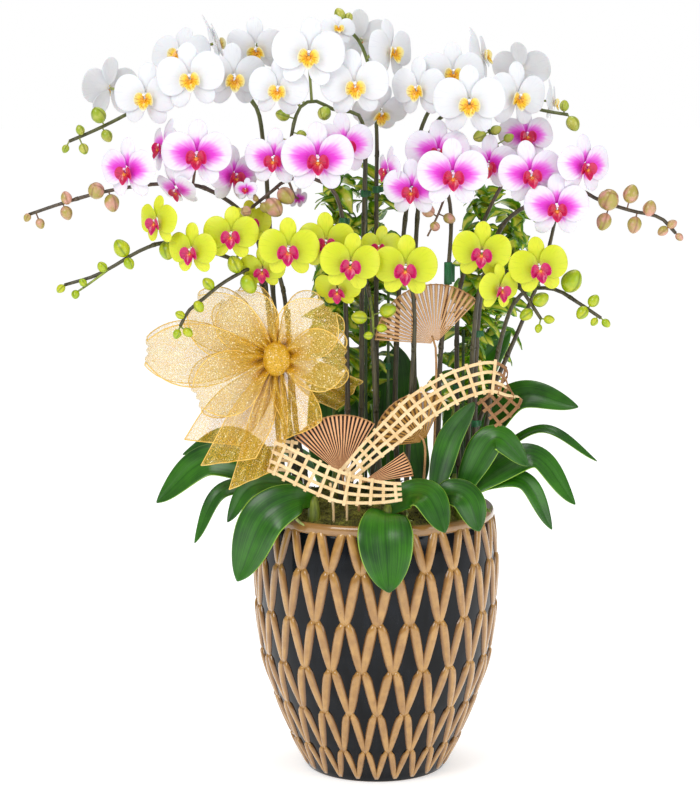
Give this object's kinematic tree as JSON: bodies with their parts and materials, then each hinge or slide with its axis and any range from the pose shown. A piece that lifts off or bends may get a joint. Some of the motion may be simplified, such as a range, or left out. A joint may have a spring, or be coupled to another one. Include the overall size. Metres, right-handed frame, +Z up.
{
  "type": "moth orchid arrangement in ceramic pot",
  "caption": "Potted moth orchid arrangement: arching white, pink and yellow sprays, glossy leaves, ribbon bow, fans and bamboo lattice bands in a glazed pot.",
  "frame": {"origin": "centre of the pot's flat base", "axes": "+Z up, the arrangement's front faces -Y, +X to the right seen from the front"},
  "size_m": [0.8709, 0.4085, 1.0417],
  "materials": {
    "glazed_pot": "glossy tan glaze on the raised lattice, glossy black-blue glaze in the diamonds",
    "potting_mix": "matt bark mix",
    "moss": "matt fibrous moss, stands in for plant tissue",
    "white_bloom": "soft satin petals, stands in for plant tissue",
    "pink_bloom": "soft satin petals, stands in for plant tissue",
    "yellow_bloom": "soft satin petals, stands in for plant tissue",
    "orchid_leaf": "glossy thick leaf, stands in for plant tissue",
    "filler_leaf": "glossy curled leaf, stands in for plant tissue",
    "mesh_ribbon": "open gold mesh with glitter and wired edges",
    "dried_fan": "matt dried palm, pleated",
    "bamboo": "matt split bamboo",
    "stake": "dark coated rod with a clip"
  },
  "bodies": {
    "root": {"pot": "glazed_pot", "growing_medium": "potting_mix", "moss_cover": "moss", "white_spray_left": "white_bloom", "white_spray_centre": "white_bloom", "white_spray_back": "white_bloom", "white_spray_mid_right": "white_bloom", "white_spray_right": "white_bloom", "pink_spray_left": "pink_bloom", "pink_spray_mid_left": "pink_bloom", "pink_spray_mid_right": "pink_bloom", "pink_spray_right_back": "pink_bloom", "pink_spray_right": "pink_bloom", "pink_spray_far_right": "pink_bloom", "yellow_spray_left": "yellow_bloom", "yellow_spray_low_left": "yellow_bloom", "yellow_spray_mid_left": "yellow_bloom", "yellow_spray_mid_right": "yellow_bloom", "yellow_spray_right": "yellow_bloom", "yellow_spray_far_right": "yellow_bloom", "leaves_left": "orchid_leaf", "leaves_front_left": "orchid_leaf", "leaves_front": "orchid_leaf", "leaves_front_right": "orchid_leaf", "leaves_right": "orchid_leaf", "leaves_far_right": "orchid_leaf", "leaves_middle": "orchid_leaf", "leaves_back": "orchid_leaf", "leaves_back_left": "orchid_leaf", "filler_left": "filler_leaf", "filler_middle": "filler_leaf", "filler_right": "filler_leaf", "filler_far_right": "filler_leaf", "bow": "mesh_ribbon", "fan_tall": "dried_fan", "fan_low": "dried_fan", "fan_back": "dried_fan", "fan_small": "dried_fan", "lattice_low": "bamboo", "lattice_high": "bamboo", "stake_left": "stake", "stake_middle": "stake", "stake_mid_right": "stake", "stake_right": "stake"}
  },
  "joints": []
}
